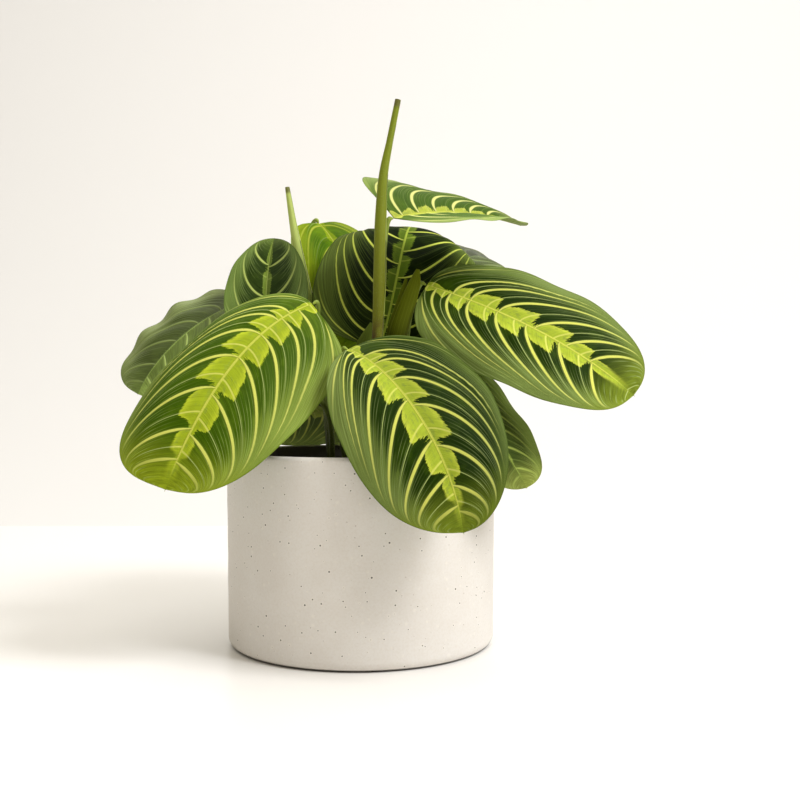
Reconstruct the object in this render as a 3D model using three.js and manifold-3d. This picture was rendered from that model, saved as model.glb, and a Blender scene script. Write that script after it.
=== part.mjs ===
// A prayer plant in a speckled ceramic cylinder pot. Millimetres, +Z up. The origin is the centre of the
// pot's base, on the surface that the pot stands on, and the front of the plant faces -Y.
import * as THREE from 'three';
import { mergeVertices } from 'three/addons/utils/BufferGeometryUtils.js';
import Module from 'manifold-3d';

const wasm = await Module();
wasm.setup();

// Clearance between pieces that touch
const GAP = 0.3;

// Pot
const POT_HEIGHT = 99;
const POT_TOP_RADIUS = 70;
const POT_BASE_RADIUS = 69;
const POT_WALL = 4.2;
const POT_FLOOR = 7;
const POT_FOOT_ROUND = 4.5;
const POT_INNER_ROUND = 6;
const POT_SEGMENTS = 48;

// Soil
const SOIL_LEVEL = 90;
const SOIL_CROWN = 3;
const SOIL_SEGMENTS = 32;
const HOLE_DEPTH = 9;
const HOLE_SIDES = 10;

// Stalks and rolled leaves
const STALK_RADIUS = 1.5;
const STALK_SIDES = 6;
const STALK_STEPS = 8;
const ROLLED_SIDES = 8;
const FOOT_DEPTH = 8;
const NECK = 3;
const STALK_RISE = 2;

// Blades. A row of the grid runs from the midrib to the margin and sweeps towards the tip on its way, as
// the veins do. Rows that start at the base itself fan out to the lower part of the margin.
const BLADE_THICKNESS = 0.8;
const MIDRIB_DEPTH = 1.1;
const RIB_RELIEF = 0.35;
const BASE_ROWS = 8;
const BASE_ROW_EASE = 1.5;
const MIDRIB_ROWS = 14;
const ROW_SWEEP = 0.85;
const ROW_BEND = 0.5;
const ROW_EASE = 3.6;
const COLUMNS = [0, 0.4, 0.75, 1];
const TIP_POINT = 0.09;
const TIP_START = 0.98;
const WAVE_SHIFT = 0.3;

const GREENS = {
  blade: 0x4f7a22,
  bladeShade: 0x3b5c1d,
  bladeBright: 0x8fb52a,
  bladeBack: 0x6b8748,
  stalk: 0x8ea548,
  rolled: 0x7d9440,
  young: 0x6f8a33,
};

// One entry for each leaf. midrib: four points that the midrib's cubic passes through, base first.
// width: across the blade. widest: where each half is widest along the midrib, left half first, seen
// from above with the tip away. blunt: how square the base and the tip of each half are. face: which way
// the upper side looks at the base and at the tip. lift: how steeply each half leaves the midrib, in
// degrees. droop: how far each half then curls down by its margin, in degrees, at the base and at the
// tip. wave: the margin's ripple, its height, its count and its start. stalk: the points that the stalk
// passes on its way up from the soil.
const LEAVES = [
  {
    name: 'front_left', color: GREENS.blade,
    midrib: [[-24, -22, 174], [-48, -44, 156], [-69, -62, 125], [-86, -76, 84]],
    width: 89, widest: [0.42, 0.6], blunt: [[3, 2.6], [2, 2.8]],
    face: [[0.5, -0.6, 0.55], [-0.1, -0.9, 0.4]],
    lift: [6, 0], droop: [[14, 6], [112, 38]], wave: [1, 3, 0.1],
    stalk: [[-8, -12], [-14, -10, 125], [-22, -11, 158]],
  },
  {
    name: 'front_centre', color: GREENS.blade,
    midrib: [[-5, -41, 150], [16, -62, 135], [36, -82, 106], [48, -94, 67]],
    width: 76, widest: [0.42, 0.56], blunt: [[3.2, 2], [2.1, 2.3]],
    face: [[0.25, -0.7, 0.65], [-0.2, -0.95, 0.35]],
    lift: [4, 4], droop: [[20, 24], [50, 25]], wave: [1, 3, 0.6],
    stalk: [[-1, -19], [-2, -24, 120], [-4, -33, 141]],
  },
  {
    name: 'right', color: GREENS.blade,
    midrib: [[34, -10, 185], [67, -24, 171], [101, -38, 152], [133, -48, 127]],
    width: 68, widest: [0.46, 0.38], blunt: [[2.1, 2.4], [2.2, 2.5]],
    face: [[0, -0.8, 0.6], [0, -0.85, 0.45]],
    lift: [4, 0], droop: [[22, 18], [50, 8]], wave: [1, 3, 0.3],
    stalk: [[18, -4], [20, -5, 130], [23, -5, 150], [26, -3, 172]],
  },
  {
    name: 'top_right', color: GREENS.blade,
    midrib: [[17, -18, 218], [39, -2, 224], [64, 16, 226], [88, 33, 223]],
    width: 80, widest: [0.28, 0.38], blunt: [[2.3, 1.3], [2.4, 1.7]],
    face: [[0.1, -0.3, 0.95], [0.1, -0.3, 0.95]],
    lift: [35, 4], droop: [[16, 85], [0, 0]], wave: [0.8, 3, 0.3],
    stalk: [[11, -10], [10, -11, 130], [10, -15, 165], [11.5, -16, 195]],
  },
  {
    name: 'centre_back', color: GREENS.bladeShade,
    midrib: [[9, 0, 152], [18, 22, 190], [25, 52, 224], [30, 82, 212]],
    width: 92, widest: [0.44, 0.48], blunt: [[2.6, 1.8], [2.6, 2.2]],
    face: [[0.1, -0.8, 0.57], [0.05, -0.1, 1]],
    lift: [0, 0], droop: [[5, 40], [10, 60]], wave: [1, 3, 0.3],
    stalk: [[3, -5], [3, -5, 120], [6, -3, 140]],
  },
  {
    name: 'left_small', color: GREENS.bladeShade,
    midrib: [[-49, -15, 161], [-50, -3, 178], [-50, 9, 198], [-49, 25, 215]],
    width: 44, widest: [0.42, 0.42], blunt: [[2.4, 1.7], [2.4, 1.8]],
    face: [[0, -0.9, 0.5], [0, -0.7, 0.7]],
    lift: [5, 5], droop: [[10, 10], [10, 10]], wave: [0.6, 3, 0.3],
    stalk: [[-15, -4], [-18, -6, 120], [-36, -16, 142]],
  },
  {
    name: 'back_bright', color: GREENS.bladeBright,
    midrib: [[-29, 82, 233], [-15, 77, 212], [-6, 75, 184], [-5, 78, 153]],
    width: 68, widest: [0.4, 0.4], blunt: [[3, 2.2], [3.5, 2.2]],
    face: [[-0.1, -0.6, 0.7], [-0.1, -1, 0.2]],
    lift: [-22, 40], droop: [[25, 25], [25, 25]], wave: [1, 3, 0.3],
    stalk: [[-7, 20], [-9, 28, 130], [-26, 50, 156], [-44, 80, 180], [-45, 97, 208]],
  },
  {
    name: 'left_drooping', color: GREENS.bladeBack,
    midrib: [[-62, 10, 178], [-84, 6, 168], [-104, 2, 150], [-118, 0, 128]],
    width: 51, widest: [0.5, 0.6], blunt: [[2.6, 2.4], [2.6, 2.8]],
    face: [[-0.1, -0.75, 0.65], [-0.3, -0.8, 0.4]],
    lift: [4, 4], droop: [[15, 15], [25, 25]], wave: [2.2, 4, 0.3],
    stalk: [[-17, 5], [-20, 5, 125], [-38, 5, 163]],
  },
  {
    name: 'right_low', color: GREENS.bladeShade,
    midrib: [[41, -15, 151], [54, -28, 129], [68, -40, 106], [81, -50, 83]],
    width: 45, widest: [0.55, 0.6], blunt: [[2.6, 2.2], [2.6, 2.2]],
    face: [[0.35, -0.85, 0.5], [0.35, -0.85, 0.3]],
    lift: [4, 8], droop: [[30, 25], [8, 5]], wave: [1, 3, 0.3],
    stalk: [[20, -14], [22, -13, 120], [31, -9, 150]],
  },
  {
    name: 'back_right', color: GREENS.bladeBack,
    midrib: [[48, 64, 196], [66, 82, 213], [82, 95, 207], [97, 106, 188]],
    width: 60, widest: [0.45, 0.5], blunt: [[2.6, 2.2], [2.6, 2.2]],
    face: [[0.1, -0.45, 0.93], [0.1, -0.35, 0.93]],
    lift: [4, 4], droop: [[5, 5], [15, 15]], wave: [1, 3, 0.3],
    stalk: [[14, 22], [16, 24, 130], [24, 34, 165], [38, 52, 182]],
  },
  {
    name: 'rear_left', color: GREENS.blade,
    midrib: [[-4, 44, 142], [-12, 72, 142], [-20, 102, 126], [-28, 124, 96]],
    width: 60, widest: [0.5, 0.5], blunt: [[2.6, 2.4], [2.6, 2.4]],
    face: [[-0.1, 0, 1], [-0.3, 0.6, 0.6]],
    lift: [8, 8], droop: [[35, 35], [35, 35]], wave: [1, 3, 0.3],
    stalk: [[0, 26], [-1, 28, 115], [-3, 34, 137]],
  },
  {
    name: 'rear_right', color: GREENS.blade,
    midrib: [[22, 42, 158], [32, 68, 160], [42, 96, 142], [48, 116, 110]],
    width: 54, widest: [0.5, 0.5], blunt: [[2.6, 2.4], [2.6, 2.4]],
    face: [[0.1, 0, 1], [0.2, 0.6, 0.6]],
    lift: [8, 8], droop: [[35, 35], [35, 35]], wave: [1, 3, 0.3],
    stalk: [[7, 26], [9, 28, 125], [15, 31, 148]],
  },
  {
    name: 'far_left', color: GREENS.blade,
    midrib: [[-30, 24, 158], [-58, 34, 158], [-84, 42, 140], [-104, 48, 110]],
    width: 62, widest: [0.5, 0.5], blunt: [[2.6, 2.4], [2.6, 2.4]],
    face: [[0, 0.1, 1], [-0.6, 0.2, 0.6]],
    lift: [8, 8], droop: [[35, 35], [35, 35]], wave: [1, 3, 0.3],
    stalk: [[-18, 14], [-20, 14, 120], [-23, 17, 145]],
  },
  {
    name: 'far_right', color: GREENS.blade,
    midrib: [[38, 38, 168], [64, 52, 176], [88, 62, 168], [108, 70, 146]],
    width: 48, widest: [0.5, 0.5], blunt: [[2.6, 2.4], [2.6, 2.4]],
    face: [[-0.1, -0.1, 1], [0.4, 0, 0.8]],
    lift: [8, 8], droop: [[30, 30], [30, 30]], wave: [1, 3, 0.3],
    stalk: [[20, 8], [22, 10, 120], [30, 24, 150]],
  },
  {
    name: 'low_left', color: GREENS.blade,
    midrib: [[-6, 49, 114], [-25, 61, 119], [-44, 69, 114], [-60, 72, 101]],
    width: 54, widest: [0.45, 0.45], blunt: [[2.6, 2.2], [3, 2.2]],
    face: [[0, 0.5, 0.85], [-0.3, 0.6, 0.7]],
    lift: [4, 4], droop: [[20, 20], [50, 50]], wave: [0.8, 3, 0.3],
    stalk: [[-4, 36], [-3, 39, 104]],
  },
  {
    name: 'low_right', color: GREENS.blade,
    midrib: [[28, 28, 116], [46, 40, 121], [64, 50, 114], [78, 58, 98]],
    width: 40, widest: [0.5, 0.5], blunt: [[2.6, 2.2], [2.6, 2.2]],
    face: [[0.2, 0.3, 0.9], [0.4, 0.3, 0.8]],
    lift: [6, 6], droop: [[25, 25], [25, 25]], wave: [0.8, 3, 0.3],
    stalk: [[22, 24], [23, 25, 106]],
  },
];

// Leaves that are still rolled or folded, and sheaths. Each has one or more shoots from a shared foot in
// the soil. path: from the foot up. half: the half widths at each point of the path, along X and across
// it.
const ROLLED = [
  {
    name: 'rolled_leaf_tall', color: GREENS.rolled,
    shoots: [{
      path: [[6, -18], [7, -20, 120], [9, -23, 160], [10, -24, 187], [10.5, -24, 215], [12, -24, 239],
        [15, -24, 255], [19.3, -24, 276.5]],
      half: [[2.2, 2.2], [2.4, 2.4], [2.9, 2.9], [3.4, 3.1], [3.1, 2.9], [2.4, 2.3], [1.8, 1.8],
        [1.6, 1.6]],
    }],
  },
  {
    name: 'rolled_leaf_small', color: GREENS.young,
    shoots: [{
      path: [[-8, 9], [-10, 12, 120], [-20, 24, 150], [-30, 29, 180], [-36, 30, 205], [-39, 30, 222],
        [-42.5, 30, 244]],
      half: [[1.6, 1.6], [1.8, 1.8], [2.3, 2.2], [3.1, 2.6], [3, 2.6], [2.2, 2], [1.3, 1.3]],
    }],
  },
  {
    name: 'folded_young_leaf', color: GREENS.young,
    shoots: [
      {
        path: [[12, 1], [14, -2, 125], [17, -9, 148], [20, -13, 162], [25, -14.5, 177], [28, -14.5, 186],
          [29.5, -14, 192.5]],
        half: [[1.8, 1.6], [2.2, 1.6], [4.6, 2], [4.8, 1.8], [4, 1.5], [3, 1.1], [1, 0.6]],
      },
      {
        path: [[12, 1], [14, -2, 125], [15.5, -8.5, 148], [17, -10.5, 162], [20.5, -11, 176],
          [23.5, -11, 188]],
        half: [[1.8, 1.6], [2.2, 1.6], [3.2, 1.4], [3.2, 1.2], [2.2, 1], [0.8, 0.6]],
      },
    ],
  },
  {
    name: 'sheath', color: GREENS.young,
    shoots: [{
      path: [[1, -12], [0, -13, 118], [0, -14, 140], [2, -14.5, 154], [6, -15, 165]],
      half: [[1.8, 1.6], [2.6, 1.5], [4.2, 1.5], [4, 1.3], [1, 0.6]],
    }],
  },
];

const vector = (p) => new THREE.Vector3(p[0], p[1], p[2]);
const between = (a, b, t) => a + (b - a) * t;
const radians = THREE.MathUtils.degToRad;

function material(color, roughness) {
  return new THREE.MeshStandardMaterial({ color, roughness, metalness: 0 });
}

function named(name, geometry, color, roughness) {
  const mesh = new THREE.Mesh(geometry, material(color, roughness));
  mesh.name = name;
  return mesh;
}

// Joins equal vertices and drops triangles that have shrunk to a line or a point
function welded(positions) {
  const loose = new THREE.BufferGeometry();
  loose.setAttribute('position', new THREE.Float32BufferAttribute(positions, 3));
  const joined = mergeVertices(loose, 1e-4);
  const index = joined.getIndex().array;
  const kept = [];
  for (let i = 0; i < index.length; i += 3) {
    const [a, b, c] = [index[i], index[i + 1], index[i + 2]];
    if (a !== b && b !== c && c !== a) {
      kept.push(a, b, c);
    }
  }
  joined.setIndex(kept);
  joined.computeVertexNormals();
  return joined;
}

function toSolid(geometry) {
  const bare = geometry.clone();
  bare.deleteAttribute('normal');
  bare.deleteAttribute('uv');
  const joined = mergeVertices(bare, 1e-4);
  return new wasm.Manifold(new wasm.Mesh({
    numProp: 3,
    vertProperties: new Float32Array(joined.getAttribute('position').array),
    triVerts: new Uint32Array(joined.getIndex().array),
  }));
}

function toGeometry(solid) {
  const mesh = solid.getMesh();
  const geometry = new THREE.BufferGeometry();
  geometry.setAttribute('position', new THREE.Float32BufferAttribute(mesh.vertProperties, 3));
  geometry.setIndex(Array.from(mesh.triVerts));
  geometry.computeVertexNormals();
  return geometry;
}

// Quarter circle of points from one angle to another, in degrees
function arc(x, y, radius, from, to, steps) {
  const points = [];
  for (let i = 0; i <= steps; i += 1) {
    const angle = radians(between(from, to, i / steps));
    points.push(new THREE.Vector2(x + radius * Math.cos(angle), y + radius * Math.sin(angle)));
  }
  return points;
}

// A turned shape about +Z, from a profile of radius and height that starts and ends on the axis
function turned(profile, segments) {
  return new THREE.LatheGeometry(profile, segments).rotateX(Math.PI / 2);
}

function potGeometry() {
  const lip = POT_WALL / 2;
  const inner = POT_TOP_RADIUS - POT_WALL;
  const innerFoot = POT_BASE_RADIUS - POT_WALL;
  return turned([
    new THREE.Vector2(0, 0),
    ...arc(POT_BASE_RADIUS - POT_FOOT_ROUND, POT_FOOT_ROUND, POT_FOOT_ROUND, -90, 0, 3),
    ...arc(POT_TOP_RADIUS - lip, POT_HEIGHT - lip, lip, 0, 180, 4),
    new THREE.Vector2(inner, POT_HEIGHT - lip - 1),
    ...arc(innerFoot - POT_INNER_ROUND, POT_FLOOR + POT_INNER_ROUND, POT_INNER_ROUND, 0, -90, 2),
    new THREE.Vector2(0, POT_FLOOR),
  ], POT_SEGMENTS);
}

// Height of the soil's domed surface at a distance from the middle
function soilHeight(x, y) {
  const edge = POT_TOP_RADIUS - POT_WALL - GAP;
  return SOIL_LEVEL + SOIL_CROWN * (1 - (x * x + y * y) / (edge * edge));
}

function soilGeometry(feet) {
  const wallAt = (z) => between(POT_BASE_RADIUS, POT_TOP_RADIUS, z / POT_HEIGHT) - POT_WALL - 2 * GAP;
  const dome = [0.9, 0.7, 0.4].map((t) => new THREE.Vector2(wallAt(SOIL_LEVEL) * t,
    soilHeight(wallAt(SOIL_LEVEL) * t, 0)));
  const bottom = POT_FLOOR + GAP;
  const body = turned([
    new THREE.Vector2(0, bottom),
    new THREE.Vector2(wallAt(bottom) - POT_INNER_ROUND, bottom),
    new THREE.Vector2(wallAt(bottom), bottom + POT_INNER_ROUND),
    new THREE.Vector2(wallAt(SOIL_LEVEL), SOIL_LEVEL),
    ...dome,
    new THREE.Vector2(0, SOIL_LEVEL + SOIL_CROWN),
  ], SOIL_SEGMENTS);
  let solid = toSolid(body);
  for (const { x, y, radius } of feet) {
    const height = HOLE_DEPTH + 2 * SOIL_CROWN;
    const hole = new THREE.CylinderGeometry(radius, radius, height, HOLE_SIDES);
    hole.rotateX(Math.PI / 2);
    hole.translate(x, y, soilHeight(x, y) - HOLE_DEPTH + height / 2);
    solid = solid.subtract(toSolid(hole));
  }
  return toGeometry(solid);
}

// A closed tube through the points, oval across, with half widths that change from point to point
function sweptGeometry(points, half, sides, steps) {
  const curve = new THREE.CatmullRomCurve3(points, false, 'centripetal');
  const rings = [];
  for (let i = 0; i <= steps; i += 1) {
    const t = i / steps;
    const centre = curve.getPoint(t);
    const along = curve.getTangent(t);
    const first = new THREE.Vector3(1, 0, 0).addScaledVector(along, -along.x).normalize();
    const second = new THREE.Vector3().crossVectors(along, first);
    const place = t * (half.length - 1);
    const k = Math.min(Math.floor(place), half.length - 2);
    const a = between(half[k][0], half[k + 1][0], place - k);
    const b = between(half[k][1], half[k + 1][1], place - k);
    const ring = [];
    for (let j = 0; j < sides; j += 1) {
      const angle = 2 * Math.PI * j / sides;
      const corner = centre.clone().addScaledVector(first, a * Math.cos(angle));
      ring.push(corner.addScaledVector(second, b * Math.sin(angle)));
    }
    rings.push({ centre, ring });
  }
  const positions = [];
  const triangle = (...corners) => corners.forEach((p) => positions.push(p.x, p.y, p.z));
  for (let j = 0; j < sides; j += 1) {
    const n = (j + 1) % sides;
    for (let i = 0; i < steps; i += 1) {
      const [low, high] = [rings[i].ring, rings[i + 1].ring];
      triangle(low[j], low[n], high[n]);
      triangle(low[j], high[n], high[j]);
    }
    triangle(rings[0].centre, rings[0].ring[n], rings[0].ring[j]);
    triangle(rings[steps].centre, rings[steps].ring[j], rings[steps].ring[n]);
  }
  return welded(positions);
}

// The cubic that passes through four points at t = 0, 1/3, 2/3 and 1
function midribPoint(points, t) {
  const weights = [
    (1 - 3 * t) * (2 - 3 * t) * (1 - t) / 2,
    9 * t * (2 - 3 * t) * (1 - t) / 2,
    9 * t * (3 * t - 1) * (1 - t) / 2,
    t * (3 * t - 1) * (3 * t - 2) / 2,
  ];
  const place = new THREE.Vector3();
  points.forEach((p, i) => place.addScaledVector(vector(p), weights[i]));
  return place;
}

function midribDirection(points, t) {
  const step = 1e-3;
  const ahead = midribPoint(points, Math.min(t + step, 1));
  return ahead.sub(midribPoint(points, Math.max(t - step, 0))).normalize();
}

// Half of the blade's width at a station, as a share of its greatest: a superellipse that ends in a
// short point
function halfWidth(station, widest, base, tip) {
  const body = Math.min(station / TIP_START, 1);
  const power = body < widest ? base : tip;
  const across = 2 * body ** (Math.log(0.5) / Math.log(widest)) - 1;
  const round = Math.max(0, 1 - Math.abs(across) ** power) ** (1 / power);
  const point = station > 0.5 ? TIP_POINT * Math.sqrt(Math.min(1, (1 - station) / 0.05)) : 0;
  return Math.max(round, point);
}

// A point of the blade's middle surface and the surface's own upward direction there. side is 0 on the
// left half and 1 on the right, and v runs from 0 on the midrib to 1 on the margin.
function bladePoint(leaf, station, v, side) {
  const half = leaf.width / 2;
  const sign = side ? 1 : -1;
  const along = midribDirection(leaf.midrib, station);
  const up = vector(leaf.face[0]).normalize().lerp(vector(leaf.face[1]).normalize(), station);
  up.addScaledVector(along, -up.dot(along)).normalize();
  const right = new THREE.Vector3().crossVectors(along, up);
  const distance = v * half * halfWidth(station, leaf.widest[side], ...leaf.blunt[side]);
  const lift = radians(leaf.lift[side]);
  const curl = radians(between(...leaf.droop[side], station)) + 1e-4;
  const turn = curl * distance / half;
  const lateral = (Math.sin(lift) - Math.sin(lift - turn)) * half / curl;
  const [height, count, start] = leaf.wave;
  const phase = 2 * Math.PI * (count * station + start + WAVE_SHIFT * side);
  const ripple = height * v ** 3 * Math.sin(phase) * Math.sin(Math.PI * station);
  const rise = (Math.cos(lift - turn) - Math.cos(lift)) * half / curl + ripple;
  const place = midribPoint(leaf.midrib, station);
  place.addScaledVector(right, sign * lateral).addScaledVector(up, rise);
  const tilt = lift - turn;
  const normal = up.clone().multiplyScalar(Math.cos(tilt)).addScaledVector(right, -sign * Math.sin(tilt));
  return { place, normal };
}

// Where a row of the grid leaves the midrib. The last two rows are the start of the short point and the
// very tip.
function rowStart(i) {
  const step = Math.max(0, i - BASE_ROWS);
  if (step < MIDRIB_ROWS) {
    return step / MIDRIB_ROWS;
  }
  return step === MIDRIB_ROWS ? TIP_START : 1;
}

function bladeGeometry(leaf) {
  const rows = BASE_ROWS + MIDRIB_ROWS + 1;
  const faces = [0, 1].map((side) => {
    const grid = { upper: [], lower: [] };
    for (let i = 0; i <= rows; i += 1) {
      const start = rowStart(i);
      const fan = Math.min(1, i / BASE_ROWS) ** BASE_ROW_EASE;
      const bend = 1 + ROW_BEND * fan * Math.exp(-ROW_EASE * start);
      const sweep = ROW_SWEEP * fan * Math.max(0, TIP_START - start);
      const rib = ((i + side) % 2 ? RIB_RELIEF : -RIB_RELIEF) * Math.sin(Math.PI * i / rows);
      const upperRow = [];
      const lowerRow = [];
      for (const v of COLUMNS) {
        const { place, normal } = bladePoint(leaf, start + sweep * v ** bend, v, side);
        place.addScaledVector(normal, rib * Math.sin(Math.PI * v));
        const keel = v === 0 && i > 0 && i < rows - 1 ? MIDRIB_DEPTH : BLADE_THICKNESS / 2;
        upperRow.push(place.clone().addScaledVector(normal, BLADE_THICKNESS / 2));
        lowerRow.push(place.clone().addScaledVector(normal, -keel));
      }
      grid.upper.push(upperRow);
      grid.lower.push(lowerRow);
    }
    return grid;
  });
  // The two halves meet on the midrib, where each would lift the surface its own way, so they share one
  // point
  for (const face of ['upper', 'lower']) {
    faces[0][face].forEach((row, i) => {
      const shared = row[0].clone().add(faces[1][face][i][0]).multiplyScalar(0.5);
      row[0].copy(shared);
      faces[1][face][i][0].copy(shared);
    });
    for (const end of [0, rows]) {
      const pole = faces[0][face][end][0];
      faces.forEach((half) => half[face][end].forEach((p) => p.copy(pole)));
    }
  }
  const positions = [];
  const triangle = (flip, a, b, c) => {
    for (const p of flip ? [a, c, b] : [a, b, c]) {
      positions.push(p.x, p.y, p.z);
    }
  };
  const last = COLUMNS.length - 1;
  faces.forEach(({ upper, lower }, side) => {
    const flip = side === 0;
    for (let i = 0; i < rows; i += 1) {
      for (let j = 0; j < last; j += 1) {
        triangle(flip, upper[i][j], upper[i][j + 1], upper[i + 1][j]);
        triangle(flip, upper[i][j + 1], upper[i + 1][j + 1], upper[i + 1][j]);
        triangle(!flip, lower[i][j], lower[i][j + 1], lower[i + 1][j]);
        triangle(!flip, lower[i][j + 1], lower[i + 1][j + 1], lower[i + 1][j]);
      }
      triangle(flip, upper[i][last], lower[i][last], lower[i + 1][last]);
      triangle(flip, upper[i][last], lower[i + 1][last], upper[i + 1][last]);
    }
  });
  return welded(positions);
}

// The stalk stands in its hole, rises through the leaf's own points and meets the blade's base end on
function stalkPoints(leaf) {
  const [[x, y], ...bends] = leaf.stalk;
  const foot = soilHeight(x, y);
  const base = midribPoint(leaf.midrib, 0);
  const along = midribDirection(leaf.midrib, 0);
  const neck = base.clone().addScaledVector(along, -NECK);
  const end = base.clone().addScaledVector(along, -GAP);
  const standing = [vector([x, y, foot - FOOT_DEPTH]), vector([x, y, foot + STALK_RISE])];
  return [...standing, ...bends.map(vector), neck, end];
}

// A rolled leaf's shoots, joined into one body
function rolledGeometry(rolled) {
  const shoots = rolled.shoots.map(({ path, half }) => {
    const [[x, y], ...rest] = path;
    const foot = soilHeight(x, y);
    const standing = [vector([x, y, foot - FOOT_DEPTH]), vector([x, y, foot + STALK_RISE])];
    const points = [...standing, ...rest.map(vector)];
    const steps = 2 * half.length;
    return sweptGeometry(points, [half[0], ...half], ROLLED_SIDES, steps);
  });
  if (shoots.length === 1) {
    return shoots[0];
  }
  return toGeometry(shoots.map(toSolid).reduce((body, shoot) => body.add(shoot)));
}

const plant = new THREE.Group();
plant.add(named('pot', potGeometry(), 0xe6e0d5, 0.55));

const feet = [];
for (const leaf of LEAVES) {
  const [[x, y]] = leaf.stalk;
  feet.push({ x, y, radius: STALK_RADIUS + GAP });
  const half = [[STALK_RADIUS, STALK_RADIUS], [STALK_RADIUS, STALK_RADIUS]];
  const stalk = sweptGeometry(stalkPoints(leaf), half, STALK_SIDES, STALK_STEPS);
  plant.add(named(`stalk_${leaf.name}`, stalk, GREENS.stalk, 0.5));
  plant.add(named(`leaf_${leaf.name}`, bladeGeometry(leaf), leaf.color, 0.45));
}
for (const rolled of ROLLED) {
  const { path: [[x, y]], half: [footHalf] } = rolled.shoots[0];
  feet.push({ x, y, radius: Math.max(...footHalf) + GAP });
  plant.add(named(rolled.name, rolledGeometry(rolled), rolled.color, 0.45));
}
plant.add(named('soil', soilGeometry(feet), 0x2e241b, 0.95));

export default plant;
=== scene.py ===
"""A prayer plant with lime-veined leaves in a speckled ceramic cylinder pot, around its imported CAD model.

Metres, +Z up, the same frame as the CAD: the origin is the centre of the pot's base, and the front of
the plant faces -Y.
"""
import math

import bpy
import numpy as np
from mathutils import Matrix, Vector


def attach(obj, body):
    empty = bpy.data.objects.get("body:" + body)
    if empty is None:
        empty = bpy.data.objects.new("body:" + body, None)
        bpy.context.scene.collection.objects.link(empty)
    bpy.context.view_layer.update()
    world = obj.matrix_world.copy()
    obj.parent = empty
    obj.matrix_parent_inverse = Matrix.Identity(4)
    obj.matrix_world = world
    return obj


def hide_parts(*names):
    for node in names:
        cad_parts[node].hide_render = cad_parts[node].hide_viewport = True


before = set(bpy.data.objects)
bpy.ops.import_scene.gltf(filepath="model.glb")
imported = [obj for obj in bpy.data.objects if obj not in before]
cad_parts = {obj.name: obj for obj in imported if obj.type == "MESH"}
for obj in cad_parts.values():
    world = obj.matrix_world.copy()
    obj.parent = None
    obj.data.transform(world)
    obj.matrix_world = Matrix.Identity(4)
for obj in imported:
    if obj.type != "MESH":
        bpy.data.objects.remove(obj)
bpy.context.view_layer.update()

MM = 0.001


# Pot. One cylinder of pale stoneware, thrown and turned, with a rounded lip and foot. Its satin glaze
# is warm white, and iron in the clay has burnt through it as small dark specks, each with a faint halo.

POT_HEIGHT = 99 * MM
POT_TOP_RADIUS = 70 * MM
POT_BASE_RADIUS = 69 * MM
POT_WALL = 4.2 * MM
POT_FLOOR = 7 * MM
POT_FOOT_ROUND = 4.5 * MM
POT_INNER_ROUND = 6 * MM
POT_SEGMENTS = 192
THROWING_WOBBLE = 0.12 * MM
FINE_RINGS = 3.1 * MM
COARSE_RINGS = 7.3 * MM
WELD_DISTANCE = 1e-8


def operator(operation):
    """A Python operator and its reflected form, each of which adds one Math node."""
    def forward(value, other):
        return value.math(operation, value, other)

    def reflected(value, other):
        return value.math(operation, other, value)

    return forward, reflected


class Value:
    """A number that varies over a surface. Its operators add Math nodes to the finish it belongs to."""

    __add__, __radd__ = operator("ADD")
    __sub__, __rsub__ = operator("SUBTRACT")
    __mul__, __rmul__ = operator("MULTIPLY")
    __truediv__, __rtruediv__ = operator("DIVIDE")
    __mod__, __rmod__ = operator("FLOORED_MODULO")
    __pow__, __rpow__ = operator("POWER")

    def __init__(self, finish, socket):
        self.finish = finish
        self.socket = socket

    def math(self, operation, *terms):
        return self.finish.value("ShaderNodeMath", {"operation": operation}, dict(enumerate(terms)))

    def __abs__(self):
        return self.math("ABSOLUTE", self)

    def cosine(self):
        return self.math("COSINE", self)

    def smaller(self, other):
        return self.math("MINIMUM", self, other)

    def rise(self, low, high):
        """0 up to low and 1 from high, with a smooth step between; with high below low it falls."""
        sockets = {"Value": self, "From Min": low, "From Max": high}
        return self.finish.value("ShaderNodeMapRange", {"interpolation_type": "SMOOTHSTEP"}, sockets)


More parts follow.
